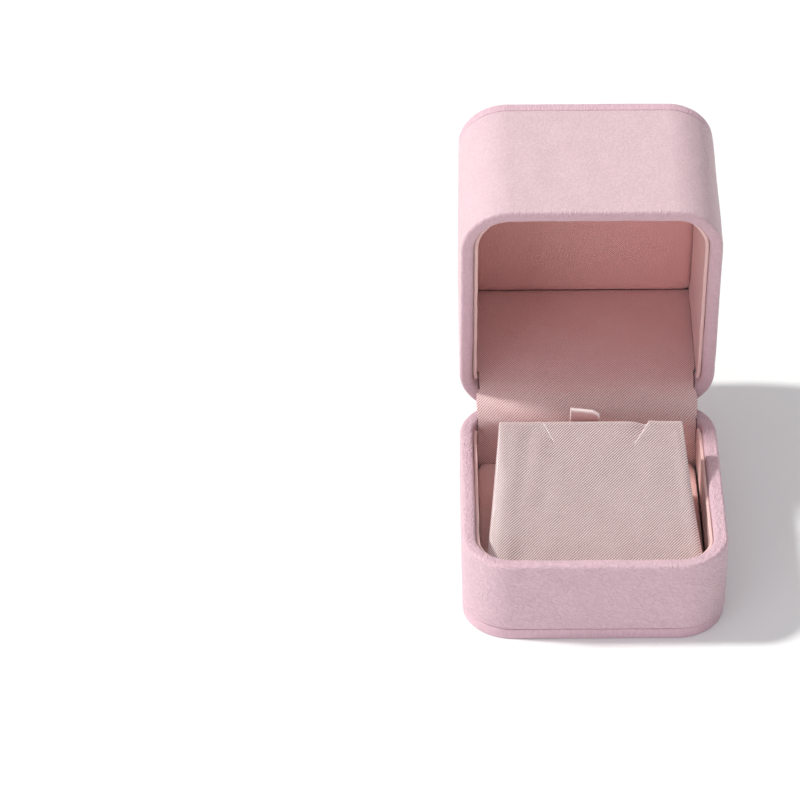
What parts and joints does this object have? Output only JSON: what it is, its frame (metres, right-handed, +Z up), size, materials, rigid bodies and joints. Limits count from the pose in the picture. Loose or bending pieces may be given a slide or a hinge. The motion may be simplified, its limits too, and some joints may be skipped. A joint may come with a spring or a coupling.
{
  "type": "jewellery case",
  "caption": "Square leather-covered jewellery case, round-cornered, with a deep hinged lid, satin lining and a sloping lift-out display insert with chain slots.",
  "frame": {"origin": "centre of the base's flat underside, on the surface it stands on", "axes": "+Z up; the case opens towards -Y and its hinge is at the +Y side; +X to the right seen from the front; the lid is stored standing open"},
  "size_m": [0.065, 0.1079, 0.0923],
  "materials": {
    "pink_leather": "fine-grained matte PU leather, light pink",
    "moulded_plastic": "matte",
    "grey_board": "matte pressed board",
    "white_card": "matte",
    "pink_satin": "satin twill with a soft sheen",
    "blush_satin": "satin twill with a soft sheen",
    "foam": "matte foam",
    "plated_steel": "satin",
    "spring_steel": "satin"
  },
  "bodies": {
    "base": {"base_leather": "pink_leather", "base_frame": "moulded_plastic", "base_plate_leather": "pink_leather", "base_plate_board": "grey_board", "base_lining_card": "white_card", "base_lining_satin": "pink_satin", "base_floor_board": "grey_board", "base_floor_foam": "foam", "base_floor_satin": "pink_satin", "base_back_card": "white_card", "hinge_base_leaf": "plated_steel", "hinge_base_rivets": "plated_steel", "hinge_pin": "plated_steel", "hinge_spring": "spring_steel", "hinge_cover_satin": "pink_satin"},
    "lid": {"lid_leather": "pink_leather", "lid_frame": "moulded_plastic", "lid_plate_leather": "pink_leather", "lid_plate_board": "grey_board", "lid_lining_card": "white_card", "lid_lining_satin": "pink_satin", "lid_pad_board": "grey_board", "lid_pad_foam": "foam", "lid_pad_satin": "pink_satin", "lid_back_card": "white_card", "hinge_lid_leaf": "plated_steel", "hinge_lid_rivets": "plated_steel"},
    "insert": {"insert_card": "white_card", "insert_foam": "foam", "insert_satin": "blush_satin", "insert_ribbon": "blush_satin"}
  },
  "joints": [
    {"name": "lid_hinge", "type": "hinge", "parent": "base", "child": "lid", "pos_m": [0, 0.0315, 0.02305], "axis": [-1, 0, 0], "range_deg": [-83.5, 0], "deforming": ["hinge_spring", "hinge_cover_satin"]},
    {"name": "insert_lift", "type": "slide", "parent": "base", "child": "insert", "axis": [0, 0, 1], "range_m": [0, 0.09]}
  ]
}
